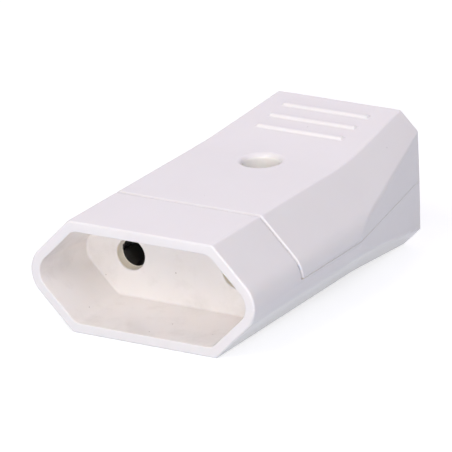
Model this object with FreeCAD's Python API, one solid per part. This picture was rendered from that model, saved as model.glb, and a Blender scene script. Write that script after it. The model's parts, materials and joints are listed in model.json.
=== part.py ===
"""Flat two-pole line socket: a rewirable coupler for a slim two-pin plug, in two moulded halves.

Frame while modelling: X across, Y from the front rim to the rear end, Z up from the parting plane.
On export the part moves to its own frame: origin under its middle, standing on Z = 0, front to -Y.
All lengths are in millimetres and all angles in degrees.
"""
import FreeCAD, Part
import math
import os

from FreeCAD import Vector

# Outer form
body_length = 61.3            # front rim to rear end
collar_width = 40.0           # across the rounded side tips
collar_height = 18.3          # across the flat top and underside at the front
tip_radius = 4.8              # rounding of the side tips, where the two 45 degree flanks meet
rear_height = 22.8            # across the flared rear end
rear_width = 28.7             # across the side faces at the rear end
flare_start = 41.5            # front rim to the bend in the top face
flare_bend = 4.7              # rounded length each side of that bend
flank_flare = 0.4             # how far each flank stands out at the rear end, from the bend on
taper_start = 32.5            # front rim to where the side faces begin to close in
side_draft = 0.5              # lean of the side faces away from the parting plane
edge_radius = 0.7             # rounding of the long edges beside the top and the underside
rear_chamfer = 0.2            # broken edge round the rear end

# Shells and the joint between them
wall = 1.8                    # wall of both shells
collar_length = 14.3          # front rim to the cover's front edge
seam_gap = 0.15               # open line between the collar and the cover's front edge
parting_gap = 0.05            # open line between the two mouldings along the parting plane
seam_chamfer = 0.35           # broken edge along the cover's front
tongue_thickness = 0.8        # locating tongue round the base's rim
tongue_height = 1.2
fit = 0.1                     # clearance between pieces that locate each other

# Recess and pin holes
collar_wall = 1.65            # collar's wall at the mouth
recess_depth = 12.2
recess_draft = 2.8
recess_corner = 2.2           # inner corners beside the flat top and bottom
rim_chamfer = 0.2             # broken outer edge of the front rim
recess_chamfer = 0.35         # broken edge round the recess's mouth
back_wall = 2.6               # wall between the recess and the contacts
pin_spacing = 19.0
pin_hole_diameter = 5.0
hole_web = 1.6                # wall round each pin hole, ahead of the contact's seat

# Plug pins and contacts
pin_diameter = 4.0
pin_length = 19.0
pin_clearance = 0.03          # radial, inside the contact's bore
pin_end_room = 1.0            # bore left past the pin's end
contact_setback = 0.2         # contact's mouth behind that web
barrel_wall = 0.85
mouth_flare = 0.47            # radial, from the bore to the contact's mouth
mouth_length = 1.6            # lead-in from the mouth to the bore
finger_slot_width = 0.6
finger_slot_length = 8.5
ring_offset = 3.6             # contact's mouth to the middle of the spring ring
groove_depth = 0.35
ring_thickness = 0.6
ring_width = 1.2
ring_opening = 1.6
ring_clearance = 0.03         # radial, between the ring and its groove
terminal_diameter = 7.0
terminal_length = 8.0
terminal_flat = 0.5           # milled off the top under the screw's head
wire_hole_diameter = 2.8
wire_hole_depth = 6.6
terminal_screw_offset = 4.0   # terminal's front shoulder to its screw

# Ribs that hold the contacts
rib_thickness = 1.6
cradle_offset = 9.6           # contact's mouth to the first rib
wire_notch_diameter = 4.2

# Screw joint of the two shells
screw_station = 36.35         # front rim to the cover's screw
counterbore_diameter = 6.0
counterbore_depth = 5.6
counterbore_chamfer = 0.5     # broken edge at the counterbore's mouth
boss_diameter = 9.4
cover_thread = 3.5
cover_head_diameter = 5.6
cover_head_height = 2.4
hole_clearance = 0.2          # radial, round a screw that passes through
thread_clearance = 0.05       # radial, round a screw in its thread
nut_flats = 6.0
nut_thickness = 2.8
nut_inset = 0.7               # nut's outer face inside the underside

# Small screws
terminal_thread = 3.0
terminal_head_diameter = 4.8
terminal_head_height = 1.8
wire_gap = 1.0                # left for the wire under the terminal screw's tip
clamp_thread = 2.9
clamp_head_diameter = 5.2
clamp_head_height = 1.8
clamp_screw_length = 9.0
driver_slot_width = 0.8
driver_slot_depth = 0.9
head_chamfer = 0.3

# Cord clamp and cable entry
clamp_inset = 9.8             # rear end to the clamp's middle
clamp_width = 6.0
clamp_thickness = 2.4
clamp_screw_spacing = 15.0
clamp_end = 3.0               # bar past each screw
clamp_corner = 1.0
clamp_boss_diameter = 5.8
cable_diameter = 6.0
cable_squeeze = 0.8           # how far the clamp presses the cord
arch_depth = 1.0              # hollow under the clamp bar
saddle_pitch = 3.2            # between the two saddle ribs under the cord
saddle_thickness = 1.2
cable_entry_diameter = 7.4
entry_chamfer = 0.5           # broken edge at the mouth of the cable entry

# Grip bars
bar_count = 3
bar_inset = 4.5               # rear end to the last bar
bar_pitch = 4.15
bar_length = 15.8
bar_width = 1.2
bar_height = 0.4
bar_slope = 0.3               # how far its sides and ends lean in

# Values that follow from the sizes above
root2 = math.sqrt(2)
half_width = collar_width / 2
half_height = collar_height / 2
flank_reach = half_width + tip_radius * (root2 - 1)
flare_slope = (rear_height - collar_height) / 2 / (body_length - flare_start)
flare_angle = math.atan(flare_slope)
flare_radius = flare_bend / math.tan(flare_angle / 2)
taper_slope = (collar_width - rear_width) / 2 / (body_length - taper_start)
draft_slope = math.tan(math.radians(side_draft))
side_lean = math.sqrt(1 + taper_slope ** 2 + draft_slope ** 2)
wall_rear = recess_depth + back_wall
inner_end = body_length - wall
pin_x = pin_spacing / 2
bore_radius = pin_diameter / 2 + pin_clearance
barrel_radius = bore_radius + barrel_wall
groove_radius = barrel_radius - groove_depth
seat_front = recess_depth + hole_web
contact_front = seat_front + contact_setback
terminal_radius = terminal_diameter / 2
terminal_front = recess_depth + pin_length + pin_end_room
terminal_rear = terminal_front + terminal_length
terminal_top = terminal_radius - terminal_flat
terminal_screw_station = terminal_front + terminal_screw_offset
screw_tip = wire_gap - wire_hole_diameter / 2
cradle_front = contact_front + cradle_offset
stop_front = terminal_front - fit - rib_thickness
stop_rear = terminal_rear + fit
head_seat = half_height - counterbore_depth
nut_face = nut_inset - half_height
nut_seat = nut_face + nut_thickness
clamp_x = clamp_screw_spacing / 2
clamp_station = body_length - clamp_inset
saddle_floor = arch_depth + cable_squeeze - cable_diameter
span = body_length + collar_width          # longer than the part, for cutting shapes
least_radius = 0.2
near = 0.02                                # tolerance when an edge is picked by its place


def rounded_wire(corners, radii):
    """Closed flat wire through the corners, each rounded to its radius; zero keeps a corner sharp."""
    count = len(corners)
    starts, ends, edges = [], [], []
    for index, (corner, radius) in enumerate(zip(corners, radii)):
        back = (corners[index - 1] - corner).normalize()
        ahead = (corners[(index + 1) % count] - corner).normalize()
        half_angle = back.getAngle(ahead) / 2
        setback = radius / math.tan(half_angle)
        starts.append(corner + back * setback)
        ends.append(corner + ahead * setback)
        if radius:
            inward = (back + ahead).normalize()
            middle = corner + inward * (radius / math.sin(half_angle) - radius)
            edges.append(Part.Arc(starts[-1], middle, ends[-1]).toShape())
    for index in range(count):
        edges.append(Part.LineSegment(ends[index], starts[(index + 1) % count]).toShape())
    return Part.Wire(Part.__sortEdges__(edges))


def stacked_solid(sections):
    """Solid with flat faces through stacked sections that have the same number of corners."""
    faces = [Part.Face(Part.makePolygon(section + section[:1])) for section in (sections[0], sections[-1])]
    for low, high in zip(sections, sections[1:]):
        for index in range(len(low)):
            corners = [low[index - 1], low[index], high[index], high[index - 1], low[index - 1]]
            faces.append(Part.Face(Part.makePolygon(corners)))
    solid = Part.Solid(Part.Shell(faces))
    if solid.Volume < 0:
        solid.reverse()
    return solid


def slab(y_from, y_to, z_from=-span, z_to=span):
    """Box across the whole width between two stations and two heights."""
    return Part.makeBox(2 * span, y_to - y_from, z_to - z_from, Vector(-span, y_from, z_from))


def upright(radius, x, y, z_from, z_to):
    """Cylinder along Z."""
    return Part.makeCylinder(radius, z_to - z_from, Vector(x, y, z_from))


def lengthwise(radius, x, z, y_from, y_to):
    """Cylinder along Y."""
    return Part.makeCylinder(radius, y_to - y_from, Vector(x, y_from, z), Vector(0, 1, 0))


def turned(profile, centre, axis):
    """Solid of revolution of (radius, height) points about an axis through the centre."""
    points = [Vector(radius, 0, height) for radius, height in profile]
    solid = Part.Face(Part.makePolygon(points + points[:1])).revolve(Vector(), Vector(0, 0, 1), 360)
    solid.Placement = FreeCAD.Placement(centre, FreeCAD.Rotation(Vector(0, 0, 1), axis))
    return solid


def mirrored(shape, normal):
    """The shape's mirror image in a plane through the origin."""
    return shape.mirror(Vector(), normal)


def edges_where(shape, test):
    """Edges whose middle point passes the test."""
    chosen = []
    for edge in shape.Edges:
        middle = edge.valueAt((edge.FirstParameter + edge.LastParameter) / 2)
        if test(middle):
            chosen.append(edge)
    return chosen


def roof_height(y):
    """Height of the top face over the parting plane at a station."""
    return half_height + max(0.0, y - flare_start) * flare_slope


def collar_corners(y, inset):
    """Corners of the collar's hexagon moved inwards by inset: side tips and the ends of the flats."""
    height = half_height - inset
    reach = flank_reach - inset * root2
    flat = reach - height
    outline = [(reach, 0), (flat, height), (-flat, height), (-reach, 0), (-flat, -height), (flat, -height)]
    return [Vector(x, y, z) for x, z in outline]


def collar_inset(point):
    """How far a point lies inside the collar's outline."""
    x, z = abs(point.x), abs(point.z)
    return min(half_height - z, half_width - x, (flank_reach - x - z) / root2)


def reach_at(y, inset=0.0):
    """Width plus height from the middle to the flanks at a station, less the inset."""
    spread = flank_flare * max(0.0, y - flare_start) / (body_length - flare_start)
    return flank_reach + (spread - inset) * root2


def rhombus(y, inset):
    """Corners of the four flanks' section at a station."""
    reach = reach_at(y, inset)
    return [Vector(reach, y, 0), Vector(0, y, reach), Vector(-reach, y, 0), Vector(0, y, -reach)]


def flank_form(inset):
    """Front view: two pairs of 45 degree flanks with rounded side tips, spread a little behind the bend."""
    tip = max(tip_radius - inset, least_radius)
    straight = Part.Face(rounded_wire(rhombus(0, inset), [tip, 0, tip, 0])).extrude(Vector(0, body_length, 0))
    return straight.fuse(stacked_solid([rhombus(flare_start, inset), rhombus(body_length, inset)]))


def roof_form(inset):
    """Side view: level top and underside, then the flare to the rear end."""
    height = half_height - inset
    bend = flare_start + inset * math.tan(flare_angle / 2)
    end = body_length - inset
    end_height = half_height + (end - flare_start) * flare_slope - inset / math.cos(flare_angle)
    upper = [(0, height), (bend, height), (end, end_height)]
    outline = upper + [(y, -z) for y, z in reversed(upper)]
    radius = flare_radius + inset
    profile = rounded_wire([Vector(-span, y, z) for y, z in outline], [0, radius, 0, 0, radius, 0])
    return Part.Face(profile).extrude(Vector(2 * span, 0, 0))


def side_form(inset):
    """Plan view: side faces that close in to the rear, with draft both ways from the parting plane."""
    sections = []
    for z in (-rear_height, 0, rear_height):
        middle = half_width - inset * side_lean - abs(z) * draft_slope
        front = middle + taper_start * taper_slope
        rear = middle - (body_length - taper_start) * taper_slope
        outline = [(-front, 0), (front, 0), (rear, body_length), (-rear, body_length)]
        sections.append([Vector(x, y, z) for x, y in outline])
    return stacked_solid(sections)


def body_form(inset=0.0):
    """The housing's form with every face moved inwards by inset."""
    return flank_form(inset).common(roof_form(inset)).common(side_form(inset)).removeSplitter()


def rear_wedge():
    """Blunt pyramid on the section of the rear end, whose sides break the end's edges at 45 degrees."""
    sections = []
    for y, inset in ((0, rear_chamfer - body_length), (body_length, rear_chamfer)):
        height = rear_height / 2 - inset
        reach = reach_at(body_length, inset)
        side = rear_width / 2 - inset * side_lean
        crease = (reach - side) / (1 - draft_slope)
        upper = [(side, 0), (reach - crease, crease), (reach - height, height), (height - reach, height),
                 (crease - reach, crease), (-side, 0)]
        lower = [(x, -z) for x, z in reversed(upper[1:-1])]
        sections.append([Vector(x, y, z) for x, z in upper + lower])
    return stacked_solid(sections)


def outer_form():
    """The whole outside of the housing, with its long edges rounded and its rear end broken."""
    form = body_form()
    bend_sag = flare_radius * flare_slope ** 2 / 8

    def on_long_edge(point):
        on_flank = abs(abs(point.x) + abs(point.z) - reach_at(point.y)) < near
        on_roof = abs(abs(point.z) - roof_height(point.y)) < near + bend_sag
        return on_flank and on_roof and point.y < body_length - near

    return form.makeFillet(edge_radius, edges_where(form, on_long_edge)).common(rear_wedge())


def recess_form():
    """Hexagonal recess for the plug's nose, with draft towards its floor and its corners rounded."""
    floor_inset = collar_wall + recess_depth * math.tan(math.radians(recess_draft))
    recess = stacked_solid([collar_corners(0, collar_wall), collar_corners(recess_depth, floor_inset)])

    def inside(point):
        return near < point.y < recess_depth - near

    tips = edges_where(recess, lambda point: inside(point) and abs(point.z) < near)
    recess = recess.makeFillet(max(tip_radius - collar_wall, least_radius), tips)

    def on_corner(point):
        height = half_height - collar_wall - point.y * math.tan(math.radians(recess_draft))
        return inside(point) and abs(abs(point.z) - height) < near

    return recess.makeFillet(recess_corner, edges_where(recess, on_corner))


def rib_slabs(z_from, z_to):
    """Cross ribs that carry the two contacts: a cradle, a front stop and a rear stop."""
    contact_ribs = []
    for station, radius in ((cradle_front, barrel_radius + fit), (stop_front, barrel_radius + fit),
                            (stop_rear, wire_notch_diameter / 2)):
        rib = slab(station, station + rib_thickness, z_from, z_to)
        for x in (-pin_x, pin_x):
            rib = rib.cut(lengthwise(radius, x, 0, station - fit, station + rib_thickness + fit))
        contact_ribs.append(rib)
    return contact_ribs


def grip_bars():
    """Raised bars across the sloping rear of the top face, their sides and ends leaning in to the top."""
    sections = []
    for height, inset in ((-wall / 2, 0), (0, 0), (bar_height, bar_slope)):
        x, y = bar_length / 2 - inset, bar_width / 2 - inset
        outline = [(-x, -y), (x, -y), (x, y), (-x, y)]
        sections.append([Vector(*corner, height) for corner in outline])
    tilt = FreeCAD.Rotation(Vector(1, 0, 0), math.degrees(flare_angle))
    bars = []
    for index in range(bar_count):
        station = body_length - bar_inset - index * bar_pitch
        bar = stacked_solid(sections)
        bar.Placement = FreeCAD.Placement(Vector(0, station, roof_height(station)), tilt)
        bars.append(bar)
    return bars


def tongue_band(outer_inset, inner_inset, top):
    """Band inside the rim, from the collar round the rear wall, up to a height over the parting plane."""
    band = body_form(outer_inset).cut(body_form(inner_inset))
    return band.common(slab(wall_rear, body_length, 0, top))


def cable_entry():
    """Round hole through the rear wall on the parting plane, broken at its outer mouth."""
    radius = cable_entry_diameter / 2
    profile = [(0, -2 * wall), (radius, -2 * wall), (radius, -entry_chamfer),
               (radius + entry_chamfer, 0), (0, 0)]
    return turned(profile, Vector(0, body_length, 0), Vector(0, 1, 0))


def base_hollow():
    """Space inside the lower shell, less its ribs, its screw bosses and the saddle under the cord."""
    low = -rear_height
    hollow = body_form(wall).common(slab(wall_rear, inner_end, low, 0))
    solids = rib_slabs(low, 0)
    solids.append(upright(boss_diameter / 2, 0, screw_station, low, 0))
    for x in (-clamp_x, clamp_x):
        solids.append(upright(clamp_boss_diameter / 2, x, clamp_station, low, 0))
    for side in (-1, 1):
        start = clamp_station + side * saddle_pitch / 2 - saddle_thickness / 2
        rib = slab(start, start + saddle_thickness, low, 0).common(
            Part.makeBox(clamp_screw_spacing, body_length, rear_height, Vector(-clamp_x, 0, low)))
        groove = lengthwise(cable_diameter / 2, 0, saddle_floor + cable_diameter / 2, start - fit,
                            start + saddle_thickness + fit)
        lift = Part.makeBox(cable_diameter, saddle_thickness + 2 * fit, rear_height,
                            Vector(-cable_diameter / 2, start - fit, saddle_floor + cable_diameter / 2))
        solids.append(rib.cut(groove).cut(lift))
    return hollow.cut(solids)


def base_housing(outer):
    """Lower shell in one piece with the collar, the recess, its back wall and the locating tongue."""
    lower = outer.common(slab(0, body_length, -span, 0))
    collar = outer.common(slab(0, collar_length))
    spigot = body_form(wall + fit).common(slab(0, wall_rear))
    shell = lower.multiFuse([collar, spigot]).cut(base_hollow())
    shell = shell.fuse(tongue_band(wall - tongue_thickness, wall, tongue_height)).removeSplitter()
    pin_holes = []
    for x in (-pin_x, pin_x):
        pin_holes.append(lengthwise(pin_hole_diameter / 2, x, 0, 0, wall_rear))
        pin_holes.append(lengthwise(barrel_radius + fit, x, 0, seat_front, wall_rear + fit))
    bolt_hole = upright(cover_thread / 2 + hole_clearance, 0, screw_station, -rear_height, 0)
    nut_pocket = hexagon_prism(nut_flats + 2 * fit, -rear_height, nut_seat)
    pilots = [upright(clamp_thread / 2 + thread_clearance, x, clamp_station, -clamp_screw_length, 0)
              for x in (-clamp_x, clamp_x)]
    shell = shell.cut([recess_form(), bolt_hole, nut_pocket, cable_entry()] + pin_holes + pilots)
    bars = [mirrored(bar, Vector(0, 0, 1)) for bar in grip_bars()]
    shell = shell.multiFuse(bars).removeSplitter()

    def on_rim(point):
        return point.y < near and collar_inset(point) < collar_wall / 2

    def on_mouth(point):
        return point.y < near and collar_inset(point) > collar_wall / 2

    shell = shell.makeChamfer(rim_chamfer, edges_where(shell, on_rim))
    return shell.makeChamfer(recess_chamfer, edges_where(shell, on_mouth))


def hexagon_prism(flats, z_from, z_to):
    """Upright hexagon on the cover screw's axis, with two flats facing the sides."""
    corner = flats / math.sqrt(3)
    points = []
    for turn in (30, 90, 150, 210, 270, 330):
        reach = FreeCAD.Rotation(Vector(0, 0, 1), turn).multVec(Vector(corner, 0, 0))
        points.append(reach + Vector(0, screw_station, z_from))
    return Part.Face(Part.makePolygon(points + points[:1])).extrude(Vector(0, 0, z_to - z_from))


def counterbore():
    """Deep round hole over the cover's screw, broken at its mouth in the top face."""
    radius = counterbore_diameter / 2
    straight = counterbore_depth - counterbore_chamfer
    profile = [(0, 0), (radius, 0), (radius, straight), (radius + rear_height - straight, rear_height),
               (0, rear_height)]
    return turned(profile, Vector(0, screw_station, head_seat), Vector(0, 0, 1))


def cover_hollow():
    """Space inside the upper shell, less its ribs and its screw boss."""
    high = rear_height
    hollow = body_form(wall).common(slab(collar_length, inner_end, 0, high))
    return hollow.cut(rib_slabs(0, high) + [upright(boss_diameter / 2, 0, screw_station, 0, high)])


def cover(outer):
    """Upper shell behind the collar, with its counterbored screw boss and its grip bars."""
    front = collar_length + seam_gap

    def on_front_edge(point):
        return point.y < front + near and point.z > parting_gap + near

    upper = outer.common(slab(front, body_length, parting_gap, span))
    upper = upper.makeChamfer(seam_chamfer, edges_where(upper, on_front_edge))
    shell = upper.cut(cover_hollow())
    shell = shell.cut(tongue_band(wall - tongue_thickness - fit, wall + fit, tongue_height + fit))
    boss_foot = upright(boss_diameter / 2, 0, screw_station, 0, parting_gap)
    shell = shell.multiFuse([boss_foot] + grip_bars()).removeSplitter()
    bolt_hole = upright(cover_thread / 2 + hole_clearance, 0, screw_station, -fit, head_seat)
    return shell.cut([counterbore(), bolt_hole, cable_entry()])


def slotted_screw(head_diameter, head_height, thread, length, seat, x, y):
    """Cheese-head screw pointing down, its head resting on the seat height."""
    head = head_diameter / 2
    shank = thread / 2
    profile = [(0, -length), (shank, -length), (shank, 0), (head, 0), (head, head_height - head_chamfer),
               (head - head_chamfer, head_height), (0, head_height)]
    screw = turned(profile, Vector(x, y, seat), Vector(0, 0, 1))
    slot = Part.makeBox(head_diameter, driver_slot_width, driver_slot_depth,
                        Vector(x - head, y - driver_slot_width / 2, seat + head_height - driver_slot_depth))
    return screw.cut(slot)


def cover_nut():
    """Hexagon nut in the pocket of the base's underside, its corners turned off on the outer face."""
    hexagon = hexagon_prism(nut_flats, nut_face, nut_seat)
    corner = nut_flats / math.sqrt(3)
    blank = [(0, 0), (nut_flats / 2, 0), (corner, corner - nut_flats / 2), (corner, nut_thickness),
             (0, nut_thickness)]
    nut = hexagon.common(turned(blank, Vector(0, screw_station, nut_face), Vector(0, 0, 1)))
    return nut.cut(upright(cover_thread / 2 + thread_clearance, 0, screw_station, nut_face, nut_seat))


def contact(x):
    """Turned socket: a slotted barrel for the plug's pin, a ring groove and a drilled wire terminal."""
    bore_end = terminal_front - contact_front
    groove_from = ring_offset - ring_width / 2 - fit
    groove_to = ring_offset + ring_width / 2 + fit
    end = terminal_rear - contact_front
    profile = [(bore_radius + mouth_flare, 0), (barrel_radius, 0), (barrel_radius, groove_from),
               (groove_radius, groove_from), (groove_radius, groove_to), (barrel_radius, groove_to),
               (barrel_radius, bore_end), (terminal_radius, bore_end), (terminal_radius, end), (0, end),
               (0, bore_end), (bore_radius, bore_end), (bore_radius, mouth_length)]
    body = turned(profile, Vector(x, contact_front, 0), Vector(0, 1, 0))
    across = 2 * barrel_radius
    for width, height in ((finger_slot_width, across), (across, finger_slot_width)):
        corner = Vector(x - width / 2, contact_front, -height / 2)
        body = body.cut(Part.makeBox(width, finger_slot_length, height, corner))
    flat = Part.makeBox(terminal_diameter, terminal_length, terminal_flat,
                        Vector(x - terminal_radius, terminal_front, terminal_top))
    wire_hole = lengthwise(wire_hole_diameter / 2, x, 0, terminal_rear - wire_hole_depth, terminal_rear)
    screw_hole = upright(terminal_thread / 2 + thread_clearance, x, terminal_screw_station,
                         screw_tip - thread_clearance, terminal_top)
    return body.cut([flat, wire_hole, screw_hole])


def spring_ring(x):
    """Open spring ring in the groove round the contact's fingers."""
    inner = groove_radius + ring_clearance
    outer = inner + ring_thickness
    middle = contact_front + ring_offset
    ring = lengthwise(outer, x, 0, middle - ring_width / 2, middle + ring_width / 2)
    ring = ring.cut(lengthwise(inner, x, 0, middle - ring_width / 2, middle + ring_width / 2))
    corner = Vector(x - ring_opening / 2, middle - ring_width / 2, 0)
    gap = Part.makeBox(ring_opening, ring_width, outer, corner)
    return ring.cut(gap)


def terminal_screw(x):
    """Screw of one contact's wire terminal, seated on the milled flat."""
    return slotted_screw(terminal_head_diameter, terminal_head_height, terminal_thread,
                         terminal_top - screw_tip, terminal_top, x, terminal_screw_station)


def cord_clamp():
    """Bar over the cord, resting on the two clamp bosses, hollowed along the cord."""
    half_length = clamp_x + clamp_end
    front, rear = clamp_station - clamp_width / 2, clamp_station + clamp_width / 2
    outline = [(-half_length, front), (half_length, front), (half_length, rear), (-half_length, rear)]
    wire = rounded_wire([Vector(x, y, 0) for x, y in outline], [clamp_corner] * 4)
    bar = Part.Face(wire).extrude(Vector(0, 0, clamp_thickness))
    arch = lengthwise(cable_diameter / 2, 0, arch_depth - cable_diameter / 2, front, rear)
    holes = [upright(clamp_thread / 2 + hole_clearance, x, clamp_station, 0, clamp_thickness)
             for x in (-clamp_x, clamp_x)]
    return bar.cut([arch] + holes)


def clamp_screw(x):
    """Screw that holds one end of the cord clamp down on its boss."""
    return slotted_screw(clamp_head_diameter, clamp_head_height, clamp_thread, clamp_screw_length,
                         clamp_thickness, x, clamp_station)


def cover_screw():
    """Screw at the foot of the cover's counterbore, down to the nut's outer face."""
    return slotted_screw(cover_head_diameter, cover_head_height, cover_thread, head_seat - nut_face,
                         head_seat, 0, screw_station)


def build():
    """All pieces by name, still in the modelling frame."""
    outer = outer_form()
    sides = {"left": -pin_x, "right": pin_x}
    pieces = {
        "base_housing": base_housing(outer),
        "cover": cover(outer),
        "cover_screw": cover_screw(),
        "cover_nut": cover_nut(),
        "terminal_screws": Part.makeCompound([terminal_screw(x) for x in sides.values()]),
        "cord_clamp": cord_clamp(),
        "clamp_screws": Part.makeCompound([clamp_screw(x) for x in (-clamp_x, clamp_x)]),
    }
    for side, x in sides.items():
        pieces["contact_" + side] = contact(x)
        pieces["spring_ring_" + side] = spring_ring(x)
    return pieces


def export(pieces):
    """Move each piece to the part's own frame and write it."""
    os.makedirs("parts", exist_ok=True)
    lowest = pieces["base_housing"].optimalBoundingBox().ZMin
    for name, shape in pieces.items():
        shape.translate(Vector(0, -body_length / 2, -lowest))
        shape.exportStep("parts/" + name + ".step")


if __name__ == "__main__":
    export(build())
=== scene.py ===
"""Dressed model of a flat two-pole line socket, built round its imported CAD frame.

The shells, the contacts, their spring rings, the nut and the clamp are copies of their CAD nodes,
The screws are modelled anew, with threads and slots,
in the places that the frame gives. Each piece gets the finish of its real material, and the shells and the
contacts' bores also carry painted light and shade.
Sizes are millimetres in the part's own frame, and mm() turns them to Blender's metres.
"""
import json
import logging
import math
from dataclasses import dataclass
from enum import Enum, IntEnum
from typing import Callable

import bmesh
import bpy
from mathutils import Matrix, Vector


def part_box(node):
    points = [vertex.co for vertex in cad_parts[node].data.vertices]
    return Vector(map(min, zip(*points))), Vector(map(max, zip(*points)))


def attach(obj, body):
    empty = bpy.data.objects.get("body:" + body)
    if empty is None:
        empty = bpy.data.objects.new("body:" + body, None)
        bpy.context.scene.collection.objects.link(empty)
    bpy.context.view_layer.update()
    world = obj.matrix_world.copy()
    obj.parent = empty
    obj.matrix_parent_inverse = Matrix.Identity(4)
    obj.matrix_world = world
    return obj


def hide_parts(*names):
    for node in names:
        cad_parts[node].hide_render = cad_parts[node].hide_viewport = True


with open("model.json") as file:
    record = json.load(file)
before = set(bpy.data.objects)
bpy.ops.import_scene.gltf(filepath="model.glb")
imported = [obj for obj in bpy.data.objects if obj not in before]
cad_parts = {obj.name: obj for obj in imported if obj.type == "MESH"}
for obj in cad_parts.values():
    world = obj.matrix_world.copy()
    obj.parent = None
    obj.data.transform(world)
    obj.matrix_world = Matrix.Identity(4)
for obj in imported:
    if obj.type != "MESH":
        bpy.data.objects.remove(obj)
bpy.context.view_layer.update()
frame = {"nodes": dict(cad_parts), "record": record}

LOG = logging.getLogger("line_socket")
BODY = "root"
# Millimetres in one of Blender's metres.
METRE = 1000.0
# Points this near to each other, in millimetres, are one point.
WELD_DISTANCE = 0.002
# Faces that meet at less than this many degrees are one flat face.
FLAT_ANGLE = 0.5
WHITE = (1.0, 1.0, 1.0, 1.0)
# A Mix node has sockets of one name for each kind of data: these are the numbers of its colours.
MIX_FIRST = 6
MIX_SECOND = 7
MIX_RESULT = 2


class Slot(Enum):
    """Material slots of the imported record."""

    HOUSING = "housing_white"
    CLAMP = "clamp_white"
    BRASS = "contact_brass"
    SPRING = "spring_steel"
    PLATED = "plated_steel"


class Zone(IntEnum):
    """Parts of a shell's surface that have a finish of their own, in the order of its material slots; the
    recess, hole and bore finishes carry painted light and the core finish painted shade.
    """

    SKIN = 0
    RECESS = 1
    HOLE = 2
    CORE = 3
    BORE = 4


class Joining(Enum):
    """What a tool does to a piece, as the Boolean modifier calls it."""

    CUT = "DIFFERENCE"
    ADD = "UNION"


class LatheAxis(Enum):
    """Which way the axis of a turned piece runs, as the band direction of its rings."""

    LENGTHWISE = "Y"
    UPRIGHT = "Z"


def mm(length: float) -> float:
    """Millimetres as Blender's metres."""
    return length / METRE


def linear(colour: str) -> tuple[float, float, float, float]:
    """An sRGB hex colour as linear red, green, blue and alpha.

    Args:
        colour: six hex digits after a hash sign.

    Returns:
        Four floats from 0 to 1.
    """
    channels = [int(colour[place:place + 2], 16) / 255.0 for place in (1, 3, 5)]
    curve = [c / 12.92 if c <= 0.04045 else ((c + 0.055) / 1.055) ** 2.4 for c in channels]
    return (curve[0], curve[1], curve[2], 1.0)


def waves_per_metre(feature: float) -> float:
    """Texture scale that draws one feature of this many millimetres."""
    return 1.0 / mm(feature)


def add_node(
    tree: bpy.types.NodeTree,
    kind: str,
    settings: dict[str, object] | None = None,
    inputs: dict[str | int, object] | None = None,
) -> bpy.types.Node:
    """Add a node, set its properties and fill or link its inputs.

    Args:
        tree: the node tree to add to.
        kind: the node's type name.
        settings: properties of the node.
        inputs: a value, or the output socket to link, for each input by name or number.

    Returns:
        The new node.
    """
    node = tree.nodes.new(kind)
    for name, value in (settings or {}).items():
        setattr(node, name, value)
    for name, value in (inputs or {}).items():
        if isinstance(value, bpy.types.NodeSocket):
            tree.links.new(value, node.inputs[name])
        else:
            node.inputs[name].default_value = value
    return node


def new_material(name: str) -> tuple[bpy.types.Material, bpy.types.NodeTree, bpy.types.Node]:
    """An empty node material with its shader in place.

    Args:
        name: the material's name.

    Returns:
        The material, its node tree and its Principled shader.
    """
    material = bpy.data.materials.new(name)
    material.use_nodes = True
    tree = material.node_tree
    return material, tree, tree.nodes["Principled BSDF"]


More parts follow.
